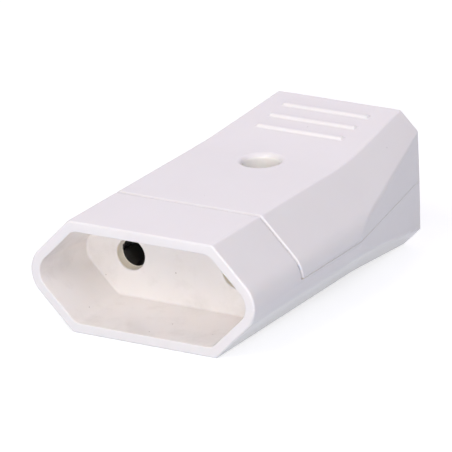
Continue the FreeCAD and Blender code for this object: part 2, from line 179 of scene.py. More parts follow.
@dataclass(frozen=True)
class MouldedPlastic:
    """Injection-moulded thermoplastic: an even, slightly warm white with a gloss skin.

    The mould leaves a faint waviness in the gloss, the pigment is not quite even, and handling
    leaves a few specks and hairline rubs.
    """

    name: str
    colour: str
    shade: str
    speck: str = "#8E8880"
    roughness: float = 0.24
    rubbed: float = 0.27
    ior: float = 1.53
    bleed: float = 0.2
    bleed_reach: tuple[float, float, float] = (1.0, 0.8, 0.6)
    bleed_scale: float = 1.0
    cloud: float = 9.0
    skin: float = 2.2
    skin_depth: float = 0.006
    skin_strength: float = 0.5
    speck_pitch: float = 3.4
    speck_radius: float = 0.075
    speck_share: float = 0.16
    rub_width: float = 0.5
    rub_length: float = 9.0
    rub_turn: tuple[float, float, float] = (0.3, 0.2, 0.7)
    rub_span: tuple[float, float] = (0.55, 0.8)
    smudge: str = "#CBC2BA"
    smudge_size: float = 5.0
    smudge_span: tuple[float, float] = (0.5, 0.7)
    smudge_share: float = 0.0

    def material(self) -> bpy.types.Material:
        """The finish as a node material.

        Returns:
            The new material.
        """
        material, tree, shader = new_material(self.name)
        place = add_node(tree, "ShaderNodeTexCoord").outputs["Object"]
        cloud = add_node(tree, "ShaderNodeTexNoise", inputs={
            "Vector": place, "Scale": waves_per_metre(self.cloud), "Detail": 3.0})
        body = add_node(tree, "ShaderNodeMix", {"data_type": "RGBA"}, {
            "Factor": cloud.outputs["Fac"],
            MIX_FIRST: linear(self.colour), MIX_SECOND: linear(self.shade)})
        smears = add_node(tree, "ShaderNodeTexNoise", inputs={
            "Vector": place, "Scale": waves_per_metre(self.smudge_size), "Detail": 6.0, "Roughness": 0.7})
        soiled = add_node(tree, "ShaderNodeMapRange", inputs={
            "Value": smears.outputs["Fac"], "To Max": self.smudge_share,
            "From Min": self.smudge_span[0], "From Max": self.smudge_span[1]})
        handled = add_node(tree, "ShaderNodeMix", {"data_type": "RGBA"}, {
            "Factor": soiled.outputs["Result"],
            MIX_FIRST: body.outputs[MIX_RESULT], MIX_SECOND: linear(self.smudge)})
        cells = add_node(tree, "ShaderNodeTexVoronoi", inputs={
            "Vector": place, "Scale": waves_per_metre(self.speck_pitch)})
        near = add_node(tree, "ShaderNodeMath", {"operation": "LESS_THAN"}, {
            0: cells.outputs["Distance"], 1: self.speck_radius / self.speck_pitch})
        lot = add_node(tree, "ShaderNodeSeparateColor", inputs={"Color": cells.outputs["Color"]})
        few = add_node(tree, "ShaderNodeMath", {"operation": "LESS_THAN"}, {
            0: lot.outputs["Red"], 1: self.speck_share})
        dirt = add_node(tree, "ShaderNodeMath", {"operation": "MULTIPLY"}, {
            0: near.outputs[0], 1: few.outputs[0]})
        speckled = add_node(tree, "ShaderNodeMix", {"data_type": "RGBA"}, {
            "Factor": dirt.outputs[0],
            MIX_FIRST: handled.outputs[MIX_RESULT], MIX_SECOND: linear(self.speck)})
        tree.links.new(speckled.outputs[MIX_RESULT], shader.inputs["Base Color"])
        stretch = (waves_per_metre(self.rub_width), waves_per_metre(self.rub_length),
                   waves_per_metre(self.rub_width))
        strokes = add_node(tree, "ShaderNodeMapping", inputs={
            "Vector": place, "Rotation": self.rub_turn, "Scale": stretch})
        rubs = add_node(tree, "ShaderNodeTexNoise", inputs={
            "Vector": strokes.outputs["Vector"], "Scale": 1.0, "Detail": 2.0})
        gloss = add_node(tree, "ShaderNodeMapRange", inputs={
            "Value": rubs.outputs["Fac"], "From Min": self.rub_span[0], "From Max": self.rub_span[1],
            "To Min": self.roughness, "To Max": self.rubbed})
        tree.links.new(gloss.outputs["Result"], shader.inputs["Roughness"])
        skin = add_node(tree, "ShaderNodeTexNoise", inputs={
            "Vector": place, "Scale": waves_per_metre(self.skin), "Detail": 2.0})
        bump = add_node(tree, "ShaderNodeBump", inputs={
            "Height": skin.outputs["Fac"], "Strength": self.skin_strength,
            "Distance": mm(self.skin_depth)})
        tree.links.new(bump.outputs["Normal"], shader.inputs["Normal"])
        shader.inputs["IOR"].default_value = self.ior
        shader.inputs["Subsurface Weight"].default_value = self.bleed
        shader.inputs["Subsurface Radius"].default_value = self.bleed_reach
        shader.inputs["Subsurface Scale"].default_value = mm(self.bleed_scale)
        return material


@dataclass(frozen=True)
class TurnedMetal:
    """Metal off the lathe: fine rings round the axis, tarnished a little in patches.

    The rings are drawn coarser than real ones, so that a close view shows them.
    """

    name: str
    colour: str
    tarnish: str
    roughness: float
    dulled: float
    axis: LatheAxis
    ring_pitch: float = 0.12
    ring_depth: float = 0.004
    ring_strength: float = 0.4
    ring_waver: float = 0.4
    patch: float = 2.5

    def material(self) -> bpy.types.Material:
        """The finish as a node material.

        Returns:
            The new material.
        """
        material, tree, shader = new_material(self.name)
        place = add_node(tree, "ShaderNodeTexCoord").outputs["Object"]
        patches = add_node(tree, "ShaderNodeTexNoise", inputs={
            "Vector": place, "Scale": waves_per_metre(self.patch), "Detail": 4.0})
        body = add_node(tree, "ShaderNodeMix", {"data_type": "RGBA"}, {
            "Factor": patches.outputs["Fac"],
            MIX_FIRST: linear(self.colour), MIX_SECOND: linear(self.tarnish)})
        tree.links.new(body.outputs[MIX_RESULT], shader.inputs["Base Color"])
        dull = add_node(tree, "ShaderNodeMapRange", inputs={
            "Value": patches.outputs["Fac"], "To Min": self.roughness, "To Max": self.dulled})
        tree.links.new(dull.outputs["Result"], shader.inputs["Roughness"])
        rings = add_node(tree, "ShaderNodeTexWave", {"bands_direction": self.axis.value}, {
            "Vector": place, "Scale": waves_per_metre(self.ring_pitch) / math.tau,
            "Distortion": self.ring_waver})
        bump = add_node(tree, "ShaderNodeBump", inputs={
            "Height": rings.outputs["Fac"], "Strength": self.ring_strength,
            "Distance": mm(self.ring_depth)})
        tree.links.new(bump.outputs["Normal"], shader.inputs["Normal"])
        shader.inputs["Metallic"].default_value = 1.0
        return material


# ABS off a polished mould: an even warm white that mirrors lamps softly.
GLOSS_WHITE = MouldedPlastic("moulded_abs_gloss_white", "#F3EEEB", "#EFE9E6")
# The same ABS where plugs slide in: small dark specks and faint grey smudges over the gloss, on a
# brighter, warmer white that is painted light lifting the recess's shade.
SCUFFED_LIT_WHITE = MouldedPlastic(
    "moulded_abs_scuffed_lit_white", "#F7F2ED", "#F2EBE6", speck="#BDB2A8",
    speck_pitch=1.6, speck_radius=0.12, speck_share=0.22, smudge_share=0.22)
# The same ABS where pins rub, with less gloss; its lighter, yellowish white is painted light that lifts
# the pin holes' shaded walls.
RUBBED_LIT_WHITE = MouldedPlastic("moulded_abs_rubbed_lit_white", "#FAF2E2", "#F3E8D4", roughness=0.32, rubbed=0.4)
# The same ABS on the counterbore's walls round the cover's screw, in the brightest, warmest white: painted
# light that lifts the walls' shade.
BORE_LIT_WHITE = MouldedPlastic("moulded_abs_bore_lit_white", "#FFFBF4", "#FCF7EF")
# ABS off the mould's unpolished core, which shows only through gaps: matt, in a cooler, greyer white that
# is painted shade, so the parting line's gap reads as a grey line.
CORE_SHADE_WHITE = MouldedPlastic("moulded_abs_core_shade_white", "#E9EAEE", "#E1E2E8", roughness=0.45, rubbed=0.55)
# ABS of the small clamp bar, off a plain mould: duller and a little darker.
PLAIN_WHITE = MouldedPlastic("moulded_abs_plain_white", "#ECE8E2", "#E6E1DB", roughness=0.42, rubbed=0.5)
# Brass off the lathe: warm yellow with fine rings and brown patches.
TURNED_BRASS = TurnedMetal("turned_brass", "#B8924A", "#6E5630", 0.28, 0.5, LatheAxis.LENGTHWISE)
# Brass inside the contacts' mouths and bores in a dull grey: painted shade, so that the pin holes read
# black where little light comes in.
BORE_SHADE_BRASS = TurnedMetal("brass_painted_bore_shade", "#74716E", "#4A4846", 0.5, 0.65, LatheAxis.LENGTHWISE)
# Spring wire, hardened and tempered: dark grey with a dull sheen.
SPRING_STEEL = TurnedMetal("hardened_spring_steel", "#77787B", "#4C4B4C", 0.3, 0.45, LatheAxis.LENGTHWISE)
# Steel with bright zinc plating: pale silver grey, lightly clouded.
PLATED_STEEL = TurnedMetal("zinc_plated_steel", "#D4D5D8", "#B4B5B9", 0.26, 0.42, LatheAxis.UPRIGHT)


def deselect_all() -> None:
    """Leave edit mode and deselect every object."""
    if bpy.context.object and bpy.context.object.mode != "OBJECT":
        bpy.ops.object.mode_set(mode="OBJECT")
    bpy.ops.object.select_all(action="DESELECT")


def make_active(piece: bpy.types.Object) -> None:
    """Make one object the only selected and active one.

    Args:
        piece: the object.
    """
    deselect_all()
    piece.select_set(True)
    bpy.context.view_layer.objects.active = piece


def pick_edges(piece: bpy.types.Object, test: Callable[[bmesh.types.BMEdge], bool]) -> int:
    """Select, in edit mode, the edges that pass a test.

    Args:
        piece: the object, active and in edit mode.
        test: says whether an edge belongs.

    Returns:
        How many edges were picked.
    """
    bpy.ops.mesh.select_mode(type="EDGE")
    bpy.ops.mesh.select_all(action="DESELECT")
    mesh = bmesh.from_edit_mesh(piece.data)
    chosen = [edge for edge in mesh.edges if test(edge)]
    for edge in chosen:
        edge.select_set(True)
    bmesh.update_edit_mesh(piece.data)
    return len(chosen)


def pick_faces(piece: bpy.types.Object, test: Callable[[bmesh.types.BMFace], bool]) -> None:
    """Select, in edit mode, the faces that pass a test.

    Args:
        piece: the object, active and in edit mode.
        test: says whether a face belongs.
    """
    bpy.ops.mesh.select_mode(type="FACE")
    bpy.ops.mesh.select_all(action="DESELECT")
    mesh = bmesh.from_edit_mesh(piece.data)
    for face in mesh.faces:
        face.select_set(test(face))
    bmesh.update_edit_mesh(piece.data)


def copy_node(node: str, name: str) -> bpy.types.Object:
    """A merged copy of a CAD node's mesh, its flat faces joined up, ready to be worked on.

    Args:
        node: the CAD node's name.
        name: the new piece's name.

    Returns:
        The new object, active and in object mode.
    """
    mesh = frame["nodes"][node].data.copy()
    mesh.name = name
    mesh.materials.clear()
    piece = bpy.data.objects.new(name, mesh)
    bpy.context.scene.collection.objects.link(piece)
    make_active(piece)
    bpy.ops.object.mode_set(mode="EDIT")
    bpy.ops.mesh.select_all(action="SELECT")
    bpy.ops.mesh.remove_doubles(threshold=mm(WELD_DISTANCE))
    bpy.ops.mesh.dissolve_limited(angle_limit=math.radians(FLAT_ANGLE), use_dissolve_boundaries=False)
    bpy.ops.object.mode_set(mode="OBJECT")
    return piece


def combine(piece: bpy.types.Object, tool: bpy.types.Object, joining: Joining) -> bpy.types.Object:
    """Cut a tool from a piece, or join it on, and remove the tool.

    Args:
        piece: the object that stays.
        tool: the object that is used up.
        joining: whether the tool is cut away or added.

    Returns:
        The changed piece, active.
    """
    make_active(piece)
    change = piece.modifiers.new("combine", "BOOLEAN")
    change.operation = joining.value
    change.solver = "EXACT"
    change.object = tool
    bpy.ops.object.modifier_apply(modifier=change.name)
    bpy.data.objects.remove(tool, do_unlink=True)
    return piece


def weld(piece: bpy.types.Object) -> None:
    """Merge points that a cut or rounding left on one spot, and remove empty faces and loose flaps.

    Args:
        piece: the object.
    """
    make_active(piece)
    bpy.ops.object.mode_set(mode="EDIT")
    bpy.ops.mesh.select_all(action="SELECT")
    bpy.ops.mesh.remove_doubles(threshold=mm(WELD_DISTANCE))
    bpy.ops.mesh.dissolve_degenerate(threshold=mm(WELD_DISTANCE))
    if pick_edges(piece, lambda edge: edge.is_boundary):
        bpy.ops.mesh.delete(type="EDGE")
    bpy.ops.object.mode_set(mode="OBJECT")


def shade_even(piece: bpy.types.Object, angle: float) -> None:
    """Shade a piece smooth over its rounds and even over its flat faces.

    Args:
        piece: the object.
        angle: degrees between two faces up to which their edge is smooth.
    """
    make_active(piece)
    bpy.ops.object.shade_smooth_by_angle(angle=math.radians(angle))
    even = piece.modifiers.new("even_normals", "WEIGHTED_NORMAL")
    even.keep_sharp = True
    bpy.ops.object.modifier_apply(modifier=even.name)


def settle(piece: bpy.types.Object, slot: Slot, *nodes: str) -> None:
    """Tie a finished piece to the frame.

    Args:
        piece: the finished object.
        slot: the record's material slot that it takes its finish from; not used.
        nodes: the CAD nodes that it stands for.
    """
    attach(piece, BODY)
    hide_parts(*nodes)
    LOG.info("%s: %d faces, for %s", piece.name, len(piece.data.polygons), ", ".join(nodes))


@dataclass(frozen=True)
class HousingForm:
    """Outside of the moulded body, measured from its rim and its parting plane, as the CAD has it."""

    length: float = 61.3
    half_width: float = 20.0
    half_height: float = 9.15
    rear_half_height: float = 11.4
    rear_half_width: float = 14.35
    flare_start: float = 41.5
    flank_flare: float = 0.4
    taper_start: float = 32.5
    side_draft: float = 0.5
    tip_radius: float = 4.8
    collar_length: float = 14.3
    collar_wall: float = 1.65
    recess_depth: float = 12.2
    screw_station: float = 36.35
    counterbore_radius: float = 3.0
    pin_spacing: float = 19.0
    pin_hole_radius: float = 2.5
    pin_hole_length: float = 1.6
    parting: float = METRE * frame["record"]["mounts"][0]["pos_m"][2]

    def local(self, point: Vector) -> Vector:
        """A point of the frame in millimetres from the rim and the parting plane."""
        return Vector((point.x * METRE, point.y * METRE + self.length / 2, point.z * METRE - self.parting))

    @property
    def flank_reach(self) -> float:
        """Half the width at which the flanks would meet, if their tips were not rounded."""
        return self.half_width + self.tip_radius * (math.sqrt(2) - 1)

    @property
    def hole_rear(self) -> float:
        """How far behind the rim the front part of each pin hole ends."""
        return self.recess_depth + self.pin_hole_length

    def side_depth(self, point: Vector) -> float:
        """How far a local point lies inside the side faces that close in to the rear.

        Args:
            point: the local point.

        Returns:
            Millimetres, less than zero outside.
        """
        taper = (self.half_width - self.rear_half_width) / (self.length - self.taper_start)
        lean = math.tan(math.radians(self.side_draft))
        side = self.half_width - (point.y - self.taper_start) * taper - abs(point.z) * lean
        return side - abs(point.x)

    def depth(self, point: Vector) -> float:
        """How far a local point lies under the outer surface; rounded tips count as nearly on it.

        Args:
            point: the local point.

        Returns:
            Millimetres, less than zero outside.
        """
        x, y, z = abs(point.x), point.y, abs(point.z)
        behind = max(0.0, y - self.flare_start) / (self.length - self.flare_start)
        flank = (self.flank_reach - x - z) / math.sqrt(2) + self.flank_flare * behind
        roof = self.half_height + (self.rear_half_height - self.half_height) * behind
        return min(flank, roof - z, self.half_width - x, self.side_depth(point), y, self.length - y)

    def flank_depth(self, point: Vector) -> float:
        """How far a local point lies inside the collar's outline, seen from the front."""
        x, z = abs(point.x), abs(point.z)
        return min((self.flank_reach - x - z) / math.sqrt(2), self.half_height - z, self.half_width - x)

    def tip_depth(self, point: Vector) -> float:
        """How far a local point lies inside the collar's side tips."""
        return self.half_width - abs(point.x)

    def screw_distance(self, point: Vector) -> float:
        """How far a local point lies from the cover screw's axis."""
        return math.hypot(point.x, point.y - self.screw_station)

    def pin_distance(self, point: Vector) -> float:
        """How far a local point lies from the nearer pin's axis."""
        return math.hypot(abs(point.x) - self.pin_spacing / 2, point.z)


@dataclass
class Shells:
    """The two mouldings: base with its collar and recess, and the cover."""

    form: HousingForm
    finishes: dict[Zone, MouldedPlastic]
    outer_depth: float = 0.62
    skin_depth: float = 0.5
    sharp_angle: float = 24.0
    smooth_angle: float = 38.0
    floor_radius: float = 0.3
    floor_segments: int = 5
    edge_radius: float = 0.13
    mouth_radius: float = 0.14
    mouth_chamfer: float = 0.35
    counterbore_radius: float = 0.3
    seam_radius: float = 0.4
    lip_radius: float = 0.08
    hole_radius: float = 0.3
    crease_radius: float = 1.1
    crease_angle: float = 6.0
    crease_margin: float = 0.5
    counterbore_margin: float = 1.0
    rim_margin: float = 1.0
    seam_margin: float = 1.0
    parting_margin: float = 0.1
    widest: float = 0.6
    edge_segments: int = 4
    pin_lip: float = 0.18
    pin_lip_depth: float = 0.12
    witness_width: float = 0.06
    witness_depth: float = 0.04
    witness_segments: int = 2
    near: float = 0.02
    exact: float = 0.001

    def is_sharp(self, edge: bmesh.types.BMEdge) -> bool:
        """Whether two faces meet in a real edge, not in a facet of a round."""
        return edge.is_manifold and edge.calc_face_angle() > math.radians(self.sharp_angle)

    def ends(self, edge: bmesh.types.BMEdge) -> list[Vector]:
        """Both ends of an edge in the body's own millimetres."""
        return [self.form.local(vertex.co) for vertex in edge.verts]

    def by_screw(self, place: Vector) -> bool:
        """Whether a local point lies in the counterbore or close round it."""
        return self.form.screw_distance(place) < self.form.counterbore_radius + self.counterbore_margin

    def in_pin_hole(self, place: Vector) -> bool:
        """Whether a local point lies in line with a pin hole."""
        return self.form.pin_distance(place) < self.form.pin_hole_radius + self.near

    def on_floor(self, edge: bmesh.types.BMEdge) -> bool:
        """Whether an edge runs round the recess's floor."""
        flat = all(abs(end.y - self.form.recess_depth) < self.near for end in self.ends(edge))
        return flat and self.is_sharp(edge) and not edge.is_convex

    def on_crease(self, edge: bmesh.types.BMEdge) -> bool:
        """Whether an edge runs between a flank and a side face, clear of the parting line and the rear.

        Args:
            edge: an edge of a shell.

        Returns:
            True for an edge of that crease.
        """
        if not edge.is_manifold or not edge.is_convex:
            return False
        if edge.calc_face_angle() < math.radians(self.crease_angle):
            return False
        for end in self.ends(edge):
            clear = abs(end.z) > self.crease_margin and end.y < self.form.length - self.crease_margin
            if not clear or abs(self.form.side_depth(end)) > self.near:
                return False
        return True

    def radius(self, edge: bmesh.types.BMEdge) -> float:
        """How widely an edge is rounded.

        Args:
            edge: an edge of a shell.

        Returns:
            The width in millimetres, zero for an edge that stays as it is.
        """
        if self.on_crease(edge):
            return self.crease_radius * math.tan(edge.calc_face_angle() / 2)
        if not self.is_sharp(edge):
            return 0.0
        ends = self.ends(edge)
        form = self.form
        if all(abs(end.y - form.recess_depth) < self.near for end in ends):
            return self.hole_radius
        ahead = all(end.y < form.recess_depth - self.near for end in ends)
        if not ahead and not all(form.depth(end) < self.outer_depth for end in ends):
            return 0.0
        middle = (ends[0] + ends[1]) / 2
        if self.by_screw(middle):
            return self.counterbore_radius
        if middle.y < self.rim_margin and form.flank_depth(middle) > form.collar_wall / 2:
            return self.mouth_radius
        if abs(middle.y - form.collar_length) < self.seam_margin:
            return self.lip_radius if middle.y > form.collar_length + self.near else self.seam_radius
        if abs(middle.z) < self.parting_margin and middle.y > form.collar_length:
            return 0.0
        return self.edge_radius

    def on_rim(self, vertex: bmesh.types.BMVert) -> bool:
        """Whether a point lies where the rim's flat face ends at the CAD's broken edge.

        Args:
            vertex: a point of the base.

        Returns:
            True for a point of that border.
        """
        place = self.form.local(vertex.co)
        inner = self.form.flank_depth(place) > self.form.collar_wall - self.mouth_chamfer - self.near
        return inner and place.y < self.near

    def draw_in_rim(self, piece: bpy.types.Object) -> None:
        """Draw the rim's flat face in over the CAD's broken edge, as far as the recess's wall.

        Args:
            piece: the base.
        """
        make_active(piece)
        bpy.ops.object.mode_set(mode="EDIT")
        mesh = bmesh.from_edit_mesh(piece.data)
        border = [vertex for vertex in mesh.verts if self.on_rim(vertex)]
        moves = []
        for vertex in border:
            joined = [edge.other_vert(vertex) for edge in vertex.link_edges]
            beside = [other for other in joined if self.on_rim(other)]
            if len(beside) < 2:
                continue
            along = (beside[-1].co - beside[0].co).normalized()
            inward = Vector((along.z, 0.0, -along.x))
            if inward.dot(self.form.local(vertex.co)) > 0.0:
                inward.negate()
            moves.append((vertex, inward * mm(self.mouth_chamfer)))
        for vertex, move in moves:
            vertex.co += move
        bmesh.update_edit_mesh(piece.data)
        bpy.ops.object.mode_set(mode="OBJECT")

    def round_edges(self, piece: bpy.types.Object) -> None:
        """Round the recess's floor, then each edge that shows by its own width.

        Args:
            piece: a shell.
        """
        make_active(piece)
        bpy.ops.object.mode_set(mode="EDIT")
        if pick_edges(piece, self.on_floor):
            bpy.ops.mesh.bevel(offset=mm(self.floor_radius), segments=self.floor_segments,
                               clamp_overlap=False, loop_slide=False)
        mesh = bmesh.from_edit_mesh(piece.data)
        weight = mesh.edges.layers.float.new("bevel_weight_edge")
        for edge in mesh.edges:
            edge[weight] = self.radius(edge) / self.widest
        bmesh.update_edit_mesh(piece.data)
        bpy.ops.object.mode_set(mode="OBJECT")
        rounding = piece.modifiers.new("rounding", "BEVEL")
        rounding.limit_method = "WEIGHT"
        rounding.width = mm(self.widest)
        rounding.segments = self.edge_segments
        rounding.use_clamp_overlap = False
        rounding.loop_slide = False
        bpy.ops.object.modifier_apply(modifier=rounding.name)

    def on_lip(self, edge: bmesh.types.BMEdge, side: int) -> bool:
        """Whether an edge runs round the rear end of one side's pin hole.

        Args:
            edge: an edge of the base.
            side: -1 for the left hole, 1 for the right one.

        Returns:
            True for an edge of that hole's end.
        """
        for end in self.ends(edge):
            if end.x * side <= 0 or abs(end.y - self.form.hole_rear) >= self.near:
                return False
            if not self.in_pin_hole(end):
                return False
        return True

    def in_hole_wall(self, face: bmesh.types.BMFace) -> bool:
        """Whether a face belongs to the wall of a pin hole's front part."""
        place = self.form.local(face.calc_center_median())
        return self.in_pin_hole(place) and self.form.recess_depth < place.y < self.form.hole_rear

    def draw_in_lips(self, piece: bpy.types.Object) -> None:
        """Draw in the rear edge of each pin hole to the thin lip that the mould's pin leaves there.

        Args:
            piece: the base.
        """
        form = self.form
        make_active(piece)
        bpy.ops.object.mode_set(mode="EDIT")
        pick_faces(piece, self.in_hole_wall)
        start = mm(form.hole_rear - self.pin_lip_depth - form.length / 2)
        bpy.ops.mesh.bisect(plane_co=(0.0, start, 0.0), plane_no=(0.0, 1.0, 0.0))
        narrow = 1.0 - self.pin_lip / form.pin_hole_radius
        end = mm(form.hole_rear - form.length / 2)
        for side in (-1, 1):
            if pick_edges(piece, lambda edge: self.on_lip(edge, side)):
                middle = (mm(side * form.pin_spacing / 2), end, mm(form.parting))
                bpy.ops.transform.resize(value=(narrow, 1.0, narrow), center_override=middle)
        bpy.ops.object.mode_set(mode="OBJECT")

    def on_collar(self, face: bmesh.types.BMFace) -> bool:
        """Whether a face belongs to the collar ahead of its rounded rear edge."""
        rear = self.form.collar_length - self.seam_radius
        return any(self.form.local(corner.co).y < rear for corner in face.verts)

    def on_witness(self, edge: bmesh.types.BMEdge) -> bool:
        """Whether an edge lies where the mould's halves met, over the rim and along the collar's tips.

        Args:
            edge: an edge of the base.

        Returns:
            True for an edge of that line.
        """
        form = self.form
        for end in self.ends(edge):
            if abs(end.z) >= self.exact or form.tip_depth(end) >= form.collar_wall - self.near:
                return False
            if end.y >= form.collar_length - self.seam_radius - self.near:
                return False
        return True

    def score_witness(self, piece: bpy.types.Object) -> None:
        """Score the fine line that the mould's halves leave across the rim and along the collar's tips.

        Args:
            piece: the base.
        """
        make_active(piece)
        bpy.ops.object.mode_set(mode="EDIT")
        pick_faces(piece, self.on_collar)
        bpy.ops.mesh.bisect(plane_co=(0.0, 0.0, mm(self.form.parting)), plane_no=(0.0, 0.0, 1.0))
        if pick_edges(piece, self.on_witness):
            bpy.ops.mesh.bevel(offset=mm(self.witness_width), segments=self.witness_segments,
                               loop_slide=False)
            pick_edges(piece, self.on_witness)
            bpy.ops.transform.shrink_fatten(value=-mm(self.witness_depth))
        bpy.ops.object.mode_set(mode="OBJECT")

    def zone(self, place: Vector) -> Zone:
        """Which finish a face of a shell has.

        Args:
            place: the face's middle, as a local point.

        Returns:
            The part of the surface that it belongs to.
        """
        form = self.form
        if place.y > form.recess_depth and self.in_pin_hole(place):
            return Zone.HOLE
        inside = form.flank_depth(place) > form.collar_wall - self.mouth_radius / 2
        if inside and self.near < place.y < form.recess_depth + self.hole_radius + self.near:
            return Zone.RECESS
        if form.depth(place) <= self.skin_depth:
            return Zone.SKIN
        if not self.by_screw(place):
            return Zone.CORE
        return Zone.BORE if place.z > 0.0 else Zone.SKIN

    def dress(self, piece: bpy.types.Object, materials: list[bpy.types.Material]) -> None:
        """Give each face of a shell the finish of its zone.

        Args:
            piece: a shell.
            materials: the finishes as materials, in the order of the zones.
        """
        for material in materials:
            piece.data.materials.append(material)
        for face in piece.data.polygons:
            face.material_index = self.zone(self.form.local(face.center)).value

    def build(self) -> None:
        """Make and dress both shells."""
        materials = [self.finishes[zone].material() for zone in Zone]
        for node, name in (("base_housing", "base_shell"), ("cover", "cover_shell")):
            has_collar = node == "base_housing"
            piece = copy_node(node, name)
            if has_collar:
                self.draw_in_rim(piece)
            self.round_edges(piece)
            if has_collar:
                self.draw_in_lips(piece)
                self.score_witness(piece)
            weld(piece)
            shade_even(piece, self.smooth_angle)
            self.dress(piece, materials)
            settle(piece, Slot.HOUSING, node)


@dataclass(frozen=True)
class SlottedScrew:
    """Cheese-head screw with a cut thread, as large as the CAD's plain one."""

    head_diameter: float
    head_height: float
    thread: float
    pitch: float
    slot_width: float = 0.8
    slot_depth: float = 0.9
    head_round: float = 0.3
    head_segments: int = 3
    sides: int = 48
    turn_steps: int = 24
    spare_turns: int = 3
    depth_share: float = 0.613
    overlap: float = 0.3
    smooth_angle: float = 30.0

    def head(self, top: Vector) -> bpy.types.Object:
        """Round head with its upper edge eased and a driver slot cut across it.

        Args:
            top: middle of the head's upper face, in millimetres of the frame.

        Returns:
            The head, with its place in its mesh.
        """
        deselect_all()
        bpy.ops.mesh.primitive_cylinder_add(
            vertices=self.sides, radius=mm(self.head_diameter / 2), depth=mm(self.head_height),
            location=(top - Vector((0.0, 0.0, self.head_height / 2))) / METRE)
        head = bpy.context.object
        bpy.ops.object.mode_set(mode="EDIT")
        pick_edges(head, lambda edge: all(vertex.co.z > 0.0 for vertex in edge.verts))
        bpy.ops.mesh.bevel(offset=mm(self.head_round), segments=self.head_segments)
        bpy.ops.object.mode_set(mode="OBJECT")
        bpy.ops.object.transform_apply(location=True, rotation=True, scale=True)
        deselect_all()
        bpy.ops.mesh.primitive_cube_add(
            size=1.0, location=top / METRE,
            scale=(mm(2 * self.head_diameter), mm(self.slot_width), mm(2 * self.slot_depth)))
        return combine(head, bpy.context.object, Joining.CUT)

    def rod(self, seat: Vector, foot: float) -> bpy.types.Object:
        """Threaded rod from inside the head down to its foot: one tooth, wound up along the axis.

        Args:
            seat: middle of the head's underside, in millimetres of the frame.
            foot: height of the rod's end.

        Returns:
            The closed rod, with its place in its mesh.
        """
        # An even triangle with the pitch as its side: its corners lie this far from its middle.
        tooth = self.pitch / math.sqrt(3)
        tooth_height = 1.5 * tooth
        squeeze = self.depth_share * self.pitch / tooth_height
        deselect_all()
        bpy.ops.mesh.primitive_circle_add(vertices=3, radius=mm(tooth))
        rod = bpy.context.object
        bpy.ops.object.mode_set(mode="EDIT")
        pick_edges(rod, lambda edge: all(vertex.co.y < 0.0 for vertex in edge.verts))
        bpy.ops.mesh.delete(type="EDGE")
        bpy.ops.mesh.select_all(action="SELECT")
        bpy.ops.transform.resize(value=(1.0, squeeze, 1.0), center_override=(0.0, 0.0, 0.0))
        bpy.ops.transform.translate(value=(0.0, mm(self.thread / 2 - tooth * squeeze), 0.0))
        bpy.ops.object.mode_set(mode="OBJECT")
        winding = rod.modifiers.new("winding", "SCREW")
        winding.axis = "X"
        winding.screw_offset = mm(self.pitch)
        winding.iterations = math.ceil((seat.z - foot) / self.pitch) + self.spare_turns
        winding.steps = self.turn_steps
        winding.render_steps = self.turn_steps
        winding.use_merge_vertices = True
        winding.merge_threshold = mm(WELD_DISTANCE)
        bpy.ops.object.modifier_apply(modifier=winding.name)
        rod.rotation_euler = (0.0, -math.pi / 2, 0.0)
        rod.location = (mm(seat.x), mm(seat.y), mm(foot - self.pitch))
        bpy.ops.object.transform_apply(location=True, rotation=True, scale=True)
        bpy.ops.object.mode_set(mode="EDIT")
        bpy.ops.mesh.select_all(action="SELECT")
        bpy.ops.mesh.remove_doubles(threshold=mm(WELD_DISTANCE))
        for height, below in ((foot, True), (seat.z + self.overlap, False)):
            bpy.ops.mesh.select_all(action="SELECT")
            bpy.ops.mesh.bisect(plane_co=(mm(seat.x), mm(seat.y), mm(height)), plane_no=(0.0, 0.0, 1.0),
                                use_fill=True, clear_inner=below, clear_outer=not below)
        bpy.ops.mesh.select_all(action="SELECT")
        bpy.ops.mesh.normals_make_consistent(inside=False)
        bpy.ops.object.mode_set(mode="OBJECT")
        return rod

    def build(self, name: str, top: Vector, foot: float) -> bpy.types.Object:
        """The whole screw.

        Args:
            name: the piece's name.
            top: middle of the head's upper face, in millimetres of the frame.
            foot: height of the rod's end.

        Returns:
            The finished screw.
        """
        rod = self.rod(top - Vector((0.0, 0.0, self.head_height)), foot)
        screw = combine(self.head(top), rod, Joining.ADD)
        screw.name = name
        screw.data.name = name
        weld(screw)
        shade_even(screw, self.smooth_angle)
        return screw


